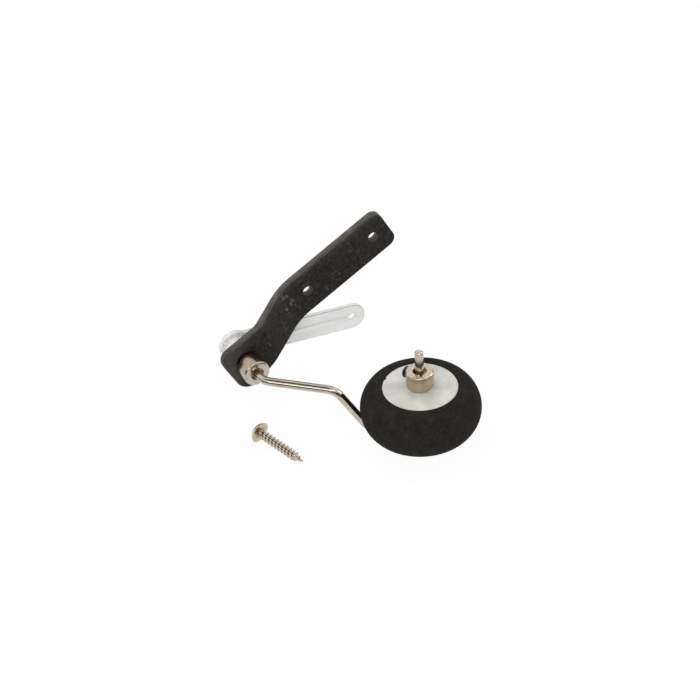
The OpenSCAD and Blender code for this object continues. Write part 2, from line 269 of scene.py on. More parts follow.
view = {
    "target": (28.843, 0.0, -7.636),     # mm from the foot of the post
    "azimuth": -24.795,
    "elevation": 37.779,
    "roll": -3.309,
    "distance": 600.0,
    "focal": 118.45,
    "sensor": 36.0,
}


def placeCamera():
    turn, rise, roll = (math.radians(view[key]) for key in ("azimuth", "elevation", "roll"))
    back = Vector((math.sin(turn) * math.cos(rise), -math.cos(turn) * math.cos(rise), math.sin(rise)))
    level = Vector((math.cos(turn), math.sin(turn), 0))
    upright = back.cross(level)
    right = level * math.cos(roll) + upright * math.sin(roll)
    up = upright * math.cos(roll) - level * math.sin(roll)
    lens = bpy.data.cameras.new("camera")
    lens.lens = view["focal"]
    lens.sensor_width = view["sensor"]
    lens.clip_start, lens.clip_end = 0.01, 20
    camera = addObject("camera", lens)
    turned = Matrix((right, up, back)).transposed().to_4x4()
    spot = postFoot + (Vector(view["target"]) + back * view["distance"]) * mm
    camera.matrix_world = Matrix.Translation(spot) @ turned
    bpy.context.scene.camera = camera


studio = {
    "world": 0.62,
    # name, place in metres, size in metres, watts, whether it mirrors in the metal
    "lamps": [
        ("overhead", (-0.12, 0.16, 0.62), (0.6, 0.44), 1.7, False),
        ("front", (-0.53, -0.43, 0.32), (0.4, 0.4), 1.4, False),
        ("window", (-0.538, -0.391, 0.346), (0.36, 0.2), 0.34, True),
        ("softbox", (-0.172, -0.405, 0.544), (0.3, 0.2), 0.4, True),
        ("side", (0.6, -0.1, 0.35), (0.22, 0.4), 0.8, True),
    ],
    "lampAim": (0, 0, 0.01),
    # dark studio flags that only mirror in the metal: bearing and elevation of their middle in degrees,
    # distance, width and height in metres
    "flags": [
        (190, 71, 0.85, 0.75, 0.42),
        (264, 22, 0.8, 0.75, 0.57),
        (166, 8, 0.8, 0.6, 0.24),
        (208, 8, 0.8, 0.8, 0.24),
        (203.5, 5.5, 0.058, 0.09, 0.0125),
        (330, 14, 0.8, 0.8, 0.42),
        (20, 16, 0.8, 0.35, 0.3),
        (100, 10, 0.8, 0.5, 0.16),
    ],
    "flagTone": (0.07, 0.05, 0.032),
    "floorSize": 4.0,
    "floorGlow": 0.94,                   # share of the floor that is plain white to the eye
}


def buildStudio():
    scene = bpy.context.scene
    scene.view_settings.view_transform = "Standard"
    scene.world = bpy.data.worlds.new("studio")
    scene.world.use_nodes = True
    tree = scene.world.node_tree
    glow = tree.nodes["Background"]
    seen = seenRays(tree)
    setShader(tree, glow, {"Color": (1, 1, 1, 1),
                           "Strength": spread(tree, seen, 0, 1, studio["world"], 1)})
    for name, place, size, watts, mirrored in studio["lamps"]:
        lamp = bpy.data.lights.new(name, "AREA")
        lamp.shape = "RECTANGLE"
        lamp.size, lamp.size_y = size
        lamp.energy = watts
        holder = addObject(name, lamp)
        holder.visible_glossy = mirrored
        aim = Vector(studio["lampAim"]) - Vector(place)
        turned = aim.to_track_quat("-Z", "Y").to_matrix().to_4x4()
        holder.matrix_world = Matrix.Translation(place) @ turned


def seenRays(tree):
    # 1 for rays that show the background: straight to the eye, in a mirror or through clear plastic
    path = put(tree, "LightPath", {})
    glossy = two(tree, "MAXIMUM", path.outputs["Is Camera Ray"], path.outputs["Is Glossy Ray"])
    return two(tree, "MAXIMUM", glossy, path.outputs["Is Transmission Ray"])


def layFloor():
    bm = bmesh.new()
    bmesh.ops.create_grid(bm, x_segments=1, y_segments=1, size=studio["floorSize"] / 2)
    finish, tree, shader = newFinish("floor white")
    dust = grain(tree, localMm(tree), 0.05)
    setShader(tree, shader, {"Base Color": tint(tree, dust, (0.86, 0.86, 0.86), (0.9, 0.9, 0.9)),
                             "Roughness": 0.9, "Specular IOR Level": 0.0})
    glow = put(tree, "Emission", {"Color": (1, 1, 1, 1), "Strength": 1.0})
    share = spread(tree, seenRays(tree), 0, 1, 0, studio["floorGlow"])
    mixed = put(tree, "MixShader", {0: share, 1: shader.outputs["BSDF"], 2: glow.outputs["Emission"]})
    tree.links.new(mixed.outputs["Shader"], tree.nodes["Material Output"].inputs["Surface"])
    floor = addObject("floor", toMesh(bm, "floor"))
    floor.data.materials.append(finish)


def standFlags():
    finish, tree, shader = newFinish("flag cloth")
    setShader(tree, shader, {"Base Color": (0, 0, 0, 1), "Roughness": 1.0, "Specular IOR Level": 0.0,
                             "Emission Color": (*studio["flagTone"], 1), "Emission Strength": 1.0})
    bm = bmesh.new()
    for bearing, rise, distance, width, height in studio["flags"]:
        stand = (Matrix.Rotation(math.radians(bearing), 4, "Z")
                 @ Matrix.Rotation(-math.radians(rise), 4, "Y"))
        facing = Matrix.Translation((distance, 0, 0)) @ Matrix.Rotation(math.pi / 2, 4, "Y")
        bmesh.ops.create_grid(bm, x_segments=1, y_segments=1, size=0.5,
                              matrix=stand @ facing @ Matrix.Diagonal((height, width, 1, 1)))
    flags = addObject("flags", toMesh(bm, "flags"))
    flags.data.materials.append(finish)
    for ray in ("camera", "diffuse", "transmission", "shadow"):
        setattr(flags, "visible_" + ray, False)


placeCamera()
buildStudio()
layFloor()
standFlags()
print("camera, lamps and floor stand")


# carbon bracket

bracket = {
    "width": 11.75,
    "thick": 2.25,
    "footLen": 5.6,          # from the post's axis to the end of the foot
    "riserStart": 6.85,
    "riserLen": 10.55,
    "riserRise": 5.75,
    "armLen": 32.4,
    "footBend": 6.0,         # radius on the middle of the strip
    "armBend": 13.5,
    "skew": -5.9,            # degrees that the bends are out of square
    "footCorner": 3.3,
    "footLowCorner": 4.0,
    "flare": 14.0,           # degrees that the foot's lower edge spreads
    "flareStart": 7.4,
    "armCorner": 2.5,
    "bushHole": 4.04,
    "screwHole": 2.7,
    "holeEdge": 4.8,
    "holePitch": 21.7,
    "turn": 27.5298,         # degrees about the post
    "rim": 0.2,
    "bendCuts": 12,
    "towWidth": 1.5,
    # middle of the painted highlight on the upper bend
    "bendHighlightSpot": (17.4, 2.0),
    "cutTones": ((0.012, 0.011, 0.0096), (0.165, 0.15, 0.131)),
    # the drilled walls are painted lighter, as light through the holes shows them
    "litWallTones": ((0.02, 0.0187, 0.0167), (0.13, 0.124, 0.114)),
}


def bendSpans(offset):
    # slope, and where the two bends of a face begin and end; the face lies off the middle of the strip
    slope = math.atan2(bracket["riserRise"], bracket["riserLen"])
    first = bracket["riserStart"] - bracket["footBend"] * math.tan(slope / 2)
    last = bracket["riserStart"] + bracket["riserLen"] + bracket["armBend"] * math.tan(slope / 2)
    return (slope, first, first + (bracket["footBend"] - offset) * math.sin(slope),
            last - (bracket["armBend"] + offset) * math.sin(slope), last)


def faceHeight(along, offset):
    slope, footEnd, riserLow, riserHigh, armStart = bendSpans(offset)
    middle = bracket["thick"] / 2
    inner, outer = bracket["footBend"] - offset, bracket["armBend"] + offset
    if along <= footEnd:
        return middle + offset
    if along <= riserLow:
        return middle + bracket["footBend"] - math.sqrt(inner ** 2 - (along - footEnd) ** 2)
    if along <= riserHigh:
        foot = middle + bracket["footBend"] - inner * math.cos(slope)
        return foot + (along - riserLow) * math.tan(slope)
    if along <= armStart:
        drop = bracket["riserRise"] - bracket["armBend"]
        return middle + drop + math.sqrt(outer ** 2 - (armStart - along) ** 2)
    return middle + bracket["riserRise"] + offset


def carbonSheet():
    finish, tree, shader = newFinish("carbon twill")
    flat = put(tree, "Attribute", {}, attribute_name="flat").outputs["Vector"]
    axes = axesOf(tree, flat)
    cells = [two(tree, "DIVIDE", axes[key], bracket["towWidth"]) for key in ("X", "Y")]
    steps = [one(tree, "FLOOR", cell) for cell in cells]
    parts = [one(tree, "FRACT", cell) for cell in cells]
    phase = two(tree, "FLOORED_MODULO", two(tree, "ADD", *steps), 4)
    warp = two(tree, "LESS_THAN", phase, 1.5)
    # each tow is a low crown of long filaments, lengthwise in the warp and crosswise in the weft
    crowns = [one(tree, "SINE", two(tree, "MULTIPLY", part, math.pi)) for part in parts]
    along = grain(tree, stretch(tree, flat, (0.3, 9, 1)), 1.0, 4)
    across = grain(tree, stretch(tree, flat, (9, 0.3, 1)), 1.0, 4)
    filament = either(tree, warp, across, along)
    crown = either(tree, warp, crowns[0], crowns[1])
    # here and there a few filaments glint: painted highlights in the base colour
    cell = put(tree, "CombineXYZ", {"X": steps[0], "Y": steps[1]}).outputs["Vector"]
    dice = put(tree, "TexWhiteNoise", {"Vector": cell}, noise_dimensions="2D").outputs["Color"]
    chance = put(tree, "SeparateColor", {"Color": dice}).outputs
    side = either(tree, warp, parts[0], parts[1])
    aside = one(tree, "ABSOLUTE", two(tree, "SUBTRACT", side, chance["Green"]))
    run = spread(tree, either(tree, warp, crowns[1], crowns[0]), 0.15, 0.6)
    glint = two(tree, "MULTIPLY", spread(tree, aside, 0.02, 0.085, 1, 0), run)
    glint = two(tree, "MULTIPLY", glint, spread(tree, chance["Red"], 0.58, 1.0))
    glint = two(tree, "MULTIPLY", glint, spread(tree, grain(tree, flat, 0.22, 2), 0.38, 0.62))
    # painted highlight on the front of the upper bend, laid on in strokes along single tows
    spotX, spotY = bracket["bendHighlightSpot"]
    bendHighlight = put(tree, "VectorMath", {0: stretch(tree, flat, (1.3, 0.8, 3)),
                                    1: (1.3 * spotX, 0.8 * spotY, -1.5 * bracket["thick"])},
               operation="DISTANCE").outputs["Value"]
    stroke = two(tree, "MULTIPLY", spread(tree, aside, 0.12, 0.3, 1, 0), run)
    stroke = two(tree, "MULTIPLY", stroke, spread(tree, chance["Blue"], 0.25, 0.55))
    stroke = two(tree, "MULTIPLY", stroke, spread(tree, filament, 0.3, 0.6, 0.4, 1))
    bendHighlight = two(tree, "MULTIPLY", spread(tree, bendHighlight, 1.5, 3.6, 1, 0), stroke)
    mottle = two(tree, "ADD", two(tree, "MULTIPLY", filament, 0.4),
                 two(tree, "MULTIPLY", grain(tree, flat, 1.1, 5, 0.8), 0.6))
    base = tint(tree, spread(tree, mottle, 0.38, 0.62), (0.002, 0.0017, 0.0013), (0.035, 0.0315, 0.0267))
    # painted light: the end of the foot and the sheet along its upper edge are coloured lighter grey
    slant = two(tree, "SUBTRACT", axes["X"], two(tree, "MULTIPLY", axes["Y"], 0.75))
    paintedLight = two(tree, "MAXIMUM", spread(tree, slant, 1.8, -3.4),
                 spread(tree, axes["Y"], 3.6, 5.8, 0, 0.4))
    paintedLight = two(tree, "MULTIPLY", paintedLight, spread(tree, mottle, 0.35, 0.6, 0.45, 1))
    colour = blendColours(tree, paintedLight, base, (0.068, 0.0625, 0.054, 1))
    colour = blendColours(tree, bendHighlight, colour, (0.125, 0.107, 0.088, 1))
    colour = blendColours(tree, glint, colour, (0.13, 0.12, 0.107, 1))
    height = two(tree, "ADD", two(tree, "MULTIPLY", crown, 0.7), two(tree, "MULTIPLY", filament, 0.5))
    setShader(tree, shader, {
        "Base Color": colour,
        "Roughness": spread(tree, filament, 0.3, 0.7, 0.5, 0.36),
        "Specular IOR Level": 0.1,
        "Normal": bumpOn(tree, height, 0.5, 0.05),
    })
    return finish


def carbonCut(name, dark, light):
    # sawn, sanded or drilled edge: the plies show as thin lines
    finish, tree, shader = newFinish(name)
    flat = put(tree, "Attribute", {}, attribute_name="flat").outputs["Vector"]
    axes = axesOf(tree, flat)
    wave = one(tree, "SINE", two(tree, "MULTIPLY", axes["Z"], fullTurn / 0.28))
    fuzz = grain(tree, stretch(tree, flat, (1.5, 1.5, 12)), 1.0, 5)
    rub = grain(tree, flat, 0.35, 3)
    ply = two(tree, "ADD", two(tree, "MULTIPLY", wave, 0.1), two(tree, "MULTIPLY", fuzz, 0.6))
    ply = two(tree, "ADD", ply, two(tree, "MULTIPLY", rub, 0.45))
    # painted shade: darker towards the front and round the end of the foot
    frontShade = two(tree, "MULTIPLY", spread(tree, axes["Z"], -1.15, 0.25, 0.42, 1),
               spread(tree, axes["X"], -4.5, 0.5, 0.45, 1))
    bright = two(tree, "MULTIPLY", spread(tree, ply, 0.34, 0.74), frontShade)
    setShader(tree, shader, {
        "Base Color": tint(tree, bright, dark, light),
        "Roughness": spread(tree, fuzz, 0.3, 0.7, 0.62, 0.48),
        "Specular IOR Level": 0.25,
        "Normal": bumpOn(tree, ply, 0.35, 0.05),
    })
    return finish


def stripOutline(bm, end):
    half, start, low = bracket["width"] / 2, -bracket["footLen"], bracket["footLowCorner"]
    flare = math.radians(bracket["flare"])
    lowAlong = start + low
    lowAcross = low / math.cos(flare) - half - (bracket["flareStart"] - lowAlong) * math.tan(flare)
    arm, foot = bracket["armCorner"], bracket["footCorner"]
    # corners in turn: middle, radius, bearing of the first point and sweep in degrees
    corners = [((end - arm, arm - half), arm, -90, 90), ((end - arm, half - arm), arm, 0, 90),
               ((start + foot, half - foot), foot, 90, 90),
               ((lowAlong, lowAcross), low, 180, 90 + bracket["flare"])]
    first = last = bm.verts.new((bracket["flareStart"], -half, 0))
    for (along, across), radius, bearing, sweep in corners:
        aim = math.radians(bearing)
        vert = bm.verts.new((along + radius * math.cos(aim), across + radius * math.sin(aim), 0))
        bm.edges.new((last, vert))
        last = sweepArc(bm, vert, (along, across, 0), (0, 0, 1), math.radians(sweep), 14)
    bm.edges.new((last, first))


def buildBracket():
    thick = bracket["thick"]
    end = bracket["riserStart"] + bracket["riserLen"] + bracket["armLen"]
    bm = bmesh.new()
    stripOutline(bm, end)
    armHole = end - bracket["holeEdge"]
    holes = [(0, bracket["bushHole"]), (armHole, bracket["screwHole"]),
             (armHole - bracket["holePitch"], bracket["screwHole"])]
    for along, size in holes:
        bmesh.ops.create_circle(bm, cap_ends=False, radius=size / 2, segments=48,
                                matrix=Matrix.Translation((along, 0, 0)))
    fillOutline(bm)
    thicken(bm, thick)
    bmesh.ops.translate(bm, verts=bm.verts[:], vec=(0, 0, -thick / 2))
    soften(bm, bracket["rim"], 3, 60, False)
    for face in bm.faces:
        middle = face.calc_center_median()
        drilled = any(math.hypot(middle.x - along, middle.y) < size / 2 + bracket["rim"]
                      for along, size in holes)
        face.material_index = 0 if abs(face.normal.z) > 0.8 else 2 if drilled else 1
    flat = bm.verts.layers.float_vector.new("flat")
    skew = Matrix.Rotation(-math.radians(bracket["skew"]), 4, "Z")
    bm.transform(skew)
    _, footEnd, riserLow, _, _ = bendSpans(-thick / 2)
    _, _, _, riserHigh, armStart = bendSpans(thick / 2)
    for low, high in ((footEnd, riserLow), (riserHigh, armStart)):
        for step in range(bracket["bendCuts"] + 1):
            cut = low + (high - low) * step / bracket["bendCuts"]
            bmesh.ops.bisect_plane(bm, geom=bm.verts[:] + bm.edges[:] + bm.faces[:],
                                   plane_co=(cut, 0, 0), plane_no=(1, 0, 0))
    for vert in bm.verts:
        along, across, level = vert.co
        vert[flat] = skew.inverted() @ vert.co
        front, back = (faceHeight(along, offset) for offset in (-thick / 2, thick / 2))
        vert.co = (along, front + (back - front) * (level / thick + 0.5), across)
    faceOut(bm)
    turn = Matrix.Rotation(-math.radians(bracket["turn"] + bracket["skew"]), 4, "Y")
    piece = addPiece("carbonBracket", bm, postPlace @ turn, "bracket", "carbon_bracket", "carbon",
                     carbonSheet(), carbonCut("carbon cut edge", *bracket["cutTones"]),
                     carbonCut("carbon drilled wall, painted light", *bracket["litWallTones"]))
    evenShading(piece)


buildBracket()
print("bracket bent and drilled")


# metal finishes

def platedNickel(name, centre, turn, tone, gloss, sideAt=None, metal=1.0):
    # bright plate with faint marks of drawing below it, or of turning when it has a turned side
    finish, tree, shader = newFinish(name)
    local = localMm(tree, centre, turn)
    rings = ringCoords(tree, local) if sideAt else local
    marks = grain(tree, rings, 7.0, 3, 0.6)
    cloud = grain(tree, local, 0.9, 3)
    fleck = spread(tree, grain(tree, local, 5.0, 2), 0.66, 0.74)
    dark = tuple(0.8 * part for part in tone)
    plate = tint(tree, spread(tree, cloud, 0.3, 0.7), dark, tone)
    if sideAt:
        # painted reflection: the turned side is coloured darker and warmer than the ends
        radius = axesOf(tree, rings)["X"]
        sideShade = spread(tree, radius, sideAt - 0.15, sideAt - 0.03)
        plate = blendColours(tree, sideShade, plate, (0.88, 0.82, 0.73, 1), "MULTIPLY")
    setShader(tree, shader, {
        "Base Color": blendColours(tree, fleck, plate, (*(0.55 * part for part in tone), 1)),
        "Metallic": metal,
        "Roughness": spread(tree, marks, 0.3, 0.7, gloss - 0.04, gloss + 0.08),
        "Normal": bumpOn(tree, marks, 0.3 if sideAt else 0.12, 0.02),
    })
    return finish


def ringCoords(tree, local):
    # turned marks run round the axis, on the ends as on the side
    axes = axesOf(tree, local)
    flat = put(tree, "CombineXYZ", {"X": axes["X"], "Y": axes["Y"]}).outputs["Vector"]
    radius = put(tree, "VectorMath", {0: flat}, operation="LENGTH").outputs["Value"]
    return put(tree, "CombineXYZ", {"X": radius, "Y": axes["Z"]}).outputs["Vector"]


# wire strut: post, trailing leg, side step and axle in one bent wire

wire = {
    "size": 2.2,
    "postTop": 8.58,         # behind the foot's front face
    "corner": -9.1606,       # where the post and the trailing leg meet
    "trailAngle": 48.15,
    "trailLen": 40.85,
    "stepAngle": 52.5,
    "stepStart": 19.0163,
    "stepDepth": 10.6,
    "wheelDrop": 1.5,        # from the post down to the middle of the wheel
    "bendR": 4.5,
    "axleBendR": 2.2,
    "axleEnd": 17.35,
    "tip": 0.4,
    "sides": 40,
    "bendSteps": 16,
    "tone": (0.585, 0.527, 0.447),
}


class WireBender:
    # walks along the wire with its open end: straight runs are extruded and bends are spun
    def __init__(self, bm, start, heading):
        self.bm, self.spot, self.heading = bm, Vector(start), Vector(heading).normalized()
        turned = Matrix.Translation(start) @ self.heading.to_track_quat("Z", "Y").to_matrix().to_4x4()
        made = bmesh.ops.create_circle(bm, cap_ends=True, radius=wire["size"] / 2,
                                       segments=wire["sides"], matrix=turned)
        self.ring = made["verts"]

    def ringEdges(self):
        found = {edge for vert in self.ring for edge in vert.link_edges}
        inside = set(self.ring)
        return [edge for edge in found if set(edge.verts) <= inside]

    def run(self, length):
        grown = bmesh.ops.extrude_edge_only(self.bm, edges=self.ringEdges())
        self.ring = vertsOf(grown["geom"])
        self.spot = self.spot + self.heading * length
        bmesh.ops.translate(self.bm, verts=self.ring, vec=self.heading * length)

    def bend(self, towards, angle, radius):
        axis = self.heading.cross(towards).normalized()
        centre = self.spot + axis.cross(self.heading) * radius
        swept = bmesh.ops.spin(self.bm, geom=self.ring + self.ringEdges(), cent=centre, axis=axis,
                               angle=angle, steps=wire["bendSteps"])
        self.ring = vertsOf(swept["geom_last"])
        swing = Matrix.Rotation(angle, 3, axis)
        self.spot = centre + swing @ (self.spot - centre)
        self.heading = swing @ self.heading

    def pinch(self, scale):
        bmesh.ops.scale(self.bm, verts=self.ring, vec=(scale, scale, scale),
                        space=Matrix.Translation(-self.spot))

    def close(self):
        bmesh.ops.edgenet_fill(self.bm, edges=self.ringEdges())


def buildWire():
    trail, step = math.radians(wire["trailAngle"]), math.radians(wire["stepAngle"])
    trailCut = wire["bendR"] * math.tan(trail / 2)
    stepCut = wire["bendR"] * math.tan(step / 2)
    slope = wire["stepDepth"] / math.sin(step)
    underRun = wire["trailLen"] - wire["stepStart"] - wire["stepDepth"] / math.tan(step)
    down, up = Vector((0, 0, -1)), Vector((0, 0, 1))
    bm = bmesh.new()
    bender = WireBender(bm, (0, wire["postTop"], 0), (0, -1, 0))
    bender.run(wire["postTop"] - wire["corner"] - trailCut)
    bender.bend(Vector((1, 0, 0)), trail, wire["bendR"])
    leg = bender.heading.copy()
    bender.run(wire["stepStart"] - trailCut - stepCut)
    bender.bend(down, step, wire["bendR"])
    bender.run(slope - 2 * stepCut)
    bender.bend(leg, step, wire["bendR"])
    bender.run(underRun - stepCut - wire["axleBendR"])
    bender.bend(up, math.pi / 2, wire["axleBendR"])
    bender.run(wire["stepDepth"] - wire["wheelDrop"] + wire["axleEnd"] - wire["axleBendR"] - wire["tip"])
    bender.run(wire["tip"])
    bender.pinch(1 - 2 * wire["tip"] / wire["size"])
    bender.close()
    clean(bm)
    soften(bm, 0.15, 4, 35)
    finish = platedNickel("plated wire", postFoot, (0, 0, 0), wire["tone"], 0.11)
    piece = addPiece("strutWire", bm, postPlace, "strut", "strut_wire", "plated_wire", finish)
    evenShading(piece)


buildWire()
print("wire bent")


# collars and their grub screws

collar = {
    "size": 7.0,
    "length": 4.5,
    "chamfer": 0.3,
    "mouth": 3.5,
    "mouthDepth": 1.1,
    "bore": 2.24,
    "rim": 0.13,
    "steps": 96,
    # one nickel for both collars, with painted light: the wheel collar lighter, the steering collar
    # darker
    "wheelLitTone": (0.635, 0.555, 0.46),
    "postShadedTone": (0.57, 0.505, 0.425),
    # darker brown for the mouth and bore: painted shade in the recess
    "mouthShadeTone": (0.55, 0.415, 0.285),
    "postBase": -1.5,        # back face of the steering collar, along the post
    "axleBase": 6.9,         # lower face of the wheel collar, above the middle of the wheel
}
grub = {
    "size": 3.0,
    "hole": 3.04,
    "tip": 1.12,             # from the wire's axis
    "pitch": 0.5,
    "threadDepth": 0.16,
    "socket": 1.5,
    "socketDepth": 1.3,
    "wheelProud": 1.1,
    "postProud": 0.1,
    "wheelTurn": 115.0,      # degrees about the axle
    "postTurn": -62.0,       # degrees about the post
}


def crossWise(turn):
    # +Z of a grub screw points out of its collar
    return lift(collar["length"] / 2) @ Matrix.Rotation(math.radians(turn), 4, "Z") @ Matrix.Rotation(
        math.pi / 2, 4, "Y")


def buildCollar(name, node, turn, place, *finishes):
    radius, edge, length = collar["size"] / 2, collar["chamfer"], collar["length"]
    bore, mouth = collar["bore"] / 2, collar["mouth"] / 2
    floor = length - collar["mouthDepth"]
    bm = bmesh.new()
    turnProfile(bm, [(bore, 0), (radius - edge, 0), (radius, edge), (radius, length - edge),
                     (radius - edge, length), (mouth, length), (mouth, floor), (bore, floor)],
                collar["steps"])
    clean(bm)
    soften(bm, collar["rim"], 3)
    drill = bmesh.new()
    addRod(drill, grub["hole"], radius * 2, 48, crossWise(turn) @ lift(radius))
    bm = joinSolids(bm, [drill], "DIFFERENCE")
    for face in bm.faces:
        middle = face.calc_center_median()
        # the mouth and bore take the darker finish, painted shade in the recess
        face.material_index = 1 if math.hypot(middle.x, middle.y) < mouth + 0.02 else 0
    piece = addPiece(name, bm, place, "strut", node, "nickel", *finishes)
    evenShading(piece, 30)


def threadRod(bm, low, high, radius, depth, pitch, sides):
    # one pitch of the ridge, swept along the helix
    half = pitch / 2
    turns = math.ceil((high - low) / pitch) + 1
    verts, edges = drawLine(bm, [(radius - depth, 0, low - pitch), (radius, 0, low - half),
                                 (radius - depth, 0, low)])
    bmesh.ops.spin(bm, geom=verts + edges, cent=(0, 0, 0), axis=(0, 0, 1), dvec=(0, 0, pitch / sides),
                   angle=fullTurn * turns, steps=sides * turns)
    bmesh.ops.remove_doubles(bm, verts=bm.verts[:], dist=0.001)
    for height, outwards in ((low, -1), (high, 1)):
        bmesh.ops.bisect_plane(bm, geom=bm.verts[:] + bm.edges[:] + bm.faces[:], plane_co=(0, 0, height),
                               plane_no=(0, 0, outwards), clear_outer=True)


def buildGrub(name, node, turn, proud, place, finish):
    low, high = grub["tip"], collar["size"] / 2 + proud
    radius = grub["size"] / 2
    bm = bmesh.new()
    threadRod(bm, low + grub["threadDepth"], high - grub["threadDepth"], radius, grub["threadDepth"],
              grub["pitch"], 32)
    rims = [edge for edge in bm.edges if edge.is_boundary]
    top = [edge for edge in rims if edge.verts[0].co.z > (low + high) / 2]
    bottom = [edge for edge in rims if edge not in top]
    core = radius - 2 * grub["threadDepth"]
    bottomDisc = bmesh.ops.create_circle(bm, cap_ends=True, radius=core, segments=32, matrix=lift(low))
    topRing = bmesh.ops.create_circle(bm, cap_ends=False, radius=core, segments=32, matrix=lift(high))
    for loop, disc in ((bottom, bottomDisc), (top, topRing)):
        inside = set(disc["verts"])
        edges = [edge for edge in bm.edges if set(edge.verts) <= inside]
        bmesh.ops.bridge_loops(bm, edges=loop + edges)
    # hexagon socket
    hexR = grub["socket"] / 2 / math.cos(math.pi / 6)
    mouth = bmesh.ops.create_circle(bm, cap_ends=False, radius=hexR, segments=6, matrix=lift(high))
    floor = bmesh.ops.create_circle(bm, cap_ends=True, radius=hexR, segments=6,
                                    matrix=lift(high - grub["socketDepth"]))
    loops = [[edge for edge in bm.edges if set(edge.verts) <= set(ring["verts"])]
             for ring in (topRing, mouth, floor)]
    bmesh.ops.bridge_loops(bm, edges=loops[1] + loops[2])
    bmesh.ops.triangle_fill(bm, use_beauty=True, edges=loops[0] + loops[1])
    clean(bm)
    piece = addPiece(name, bm, place @ crossWise(turn), "strut", node, "black_steel", finish)
    evenShading(piece, 35)


def blackSteel():
    finish, tree, shader = newFinish("black oxide")
    local = localMm(tree)
    rub = grain(tree, local, 6.0, 4)
    setShader(tree, shader, {
        "Base Color": tint(tree, spread(tree, rub, 0.35, 0.75), (0.006, 0.0056, 0.005),
                           (0.022, 0.02, 0.018)),
        "Metallic": 0.6,
        "Roughness": spread(tree, rub, 0.3, 0.7, 0.42, 0.3),
        "Normal": bumpOn(tree, rub, 0.2, 0.02),
    })
    return finish


def buildCollars():
    black = blackSteel()
    postAxis = (math.pi / 2, 0, 0)
    postCollar = postPlace @ Matrix.Translation((0, collar["postBase"], 0)) @ alongPost
    wheelCollar = wheelPlace @ lift(collar["axleBase"])
    sideAt = collar["size"] / 2
    for name, node, turn, place, centre, axis, tone in (
            ("steeringCollar", "steering_collar", grub["postTurn"], postCollar, postFoot, postAxis,
             "postShadedTone"),
            ("wheelCollar", "wheel_collar", grub["wheelTurn"], wheelCollar, wheelHeart, (0, 0, 0),
             "wheelLitTone")):
        buildCollar(name, node, turn, place,
                    platedNickel("turned nickel, " + name, centre, axis, collar[tone], 0.17, sideAt),
                    platedNickel("shaded bore, " + name, centre, axis, collar["mouthShadeTone"], 0.3, sideAt,
                                 0.35))
    buildGrub("steeringGrub", "steering_grub", grub["postTurn"], grub["postProud"], postCollar, black)
    buildGrub("wheelGrub", "wheel_grub", grub["wheelTurn"], grub["wheelProud"], wheelCollar, black)


buildCollars()
print("collars and grub screws turned")


# bush in the foot

bush = {"size": 4.0, "flange": 6.0, "flangeThick": 1.2, "proud": 0.3, "bore": 2.3, "rim": 0.12}


def oiledBrass():
    finish, tree, shader = newFinish("oiled brass")
    local = localMm(tree, postFoot, (math.pi / 2, 0, 0))
    rings = grain(tree, ringCoords(tree, local), 8.0, 3)
    stain = grain(tree, local, 0.9, 3)
    setShader(tree, shader, {
        "Base Color": tint(tree, spread(tree, stain, 0.3, 0.75), (0.035, 0.024, 0.012),
                           (0.13, 0.085, 0.04)),
        "Metallic": 1.0,
        "Roughness": spread(tree, rings, 0.3, 0.7, 0.3, 0.46),
        "Normal": bumpOn(tree, rings, 0.2, 0.02),
    })
    return finish


def buildBush():
    bore, barrel, flange = (bush[key] / 2 for key in ("bore", "size", "flange"))
    back = bracket["thick"] + bush["proud"]
    bm = bmesh.new()
    turnProfile(bm, [(bore, -back), (barrel, -back), (barrel, 0), (flange, 0),
                     (flange, bush["flangeThick"]), (bore, bush["flangeThick"])], 72)
    clean(bm)
    soften(bm, bush["rim"], 3)
    piece = addPiece("pivotBush", bm, postPlace @ alongPost, "bracket", "pivot_bush", "bush_brass",
                     oiledBrass())
    evenShading(piece)


buildBush()
print("bush pressed in")


# clear tiller arm

tiller = {
    "back": 8.6,             # rear face, along the post
    "thick": 1.3,
    "width": 7.2,
    "length": 37.3,
    "hub": 8.4,
    "boss": 6.0,
    "bossHeight": 4.45,
    "bossSink": 0.4,         # its foot inside the plate
    "ribWidth": 1.3,
    "ribHeight": 0.7,
    "ribRim": 0.3,
    "hole": 2.1,
    "bore": 2.24,
    "turn": -5.8,            # degrees about the post
    "rim": 0.2,
}


def clearPlastic():
    finish, tree, shader = newFinish("clear plastic")
    local = localMm(tree, postFoot, (0, -math.radians(tiller["turn"]), 0))
    flow = grain(tree, stretch(tree, local, (0.12, 1, 0.5)), 1.0, 3)
    scuff = grain(tree, local, 5.0, 4)
    setShader(tree, shader, {
        "Base Color": tint(tree, spread(tree, flow, 0.3, 0.7), (0.86, 0.86, 0.85), (0.95, 0.95, 0.94)),
        "Roughness": spread(tree, scuff, 0.45, 0.75, 0.16, 0.24),
        "IOR": 1.45,
        "Transmission Weight": 0.35,
        "Normal": bumpOn(tree, flow, 0.04, 0.05),
    })
    return finish


def plasticEdge():
    # painted reflection: the upper edge is coloured dark for the room, the lower one light for the
    # floor, and the end by the hub light too
    finish, tree, shader = newFinish("clear plastic edge")
    local = localMm(tree, postFoot, (0, -math.radians(tiller["turn"]), 0))
    axes = axesOf(tree, local)
    nicks = grain(tree, local, 3.0, 3)
    lit = two(tree, "MAXIMUM", spread(tree, axes["Z"], -1, 1, 0.9, 0),
              spread(tree, axes["X"], 3, 9, 0.8, 0))
    shade = two(tree, "ADD", lit, two(tree, "MULTIPLY", nicks, 0.1))
    setShader(tree, shader, {
        "Base Color": tint(tree, shade, (0.24, 0.24, 0.228), (0.95, 0.95, 0.945)),
        "Roughness": spread(tree, nicks, 0.3, 0.7, 0.2, 0.32),
        "IOR": 1.45,
        "Transmission Weight": 0.15,
    })
    return finish


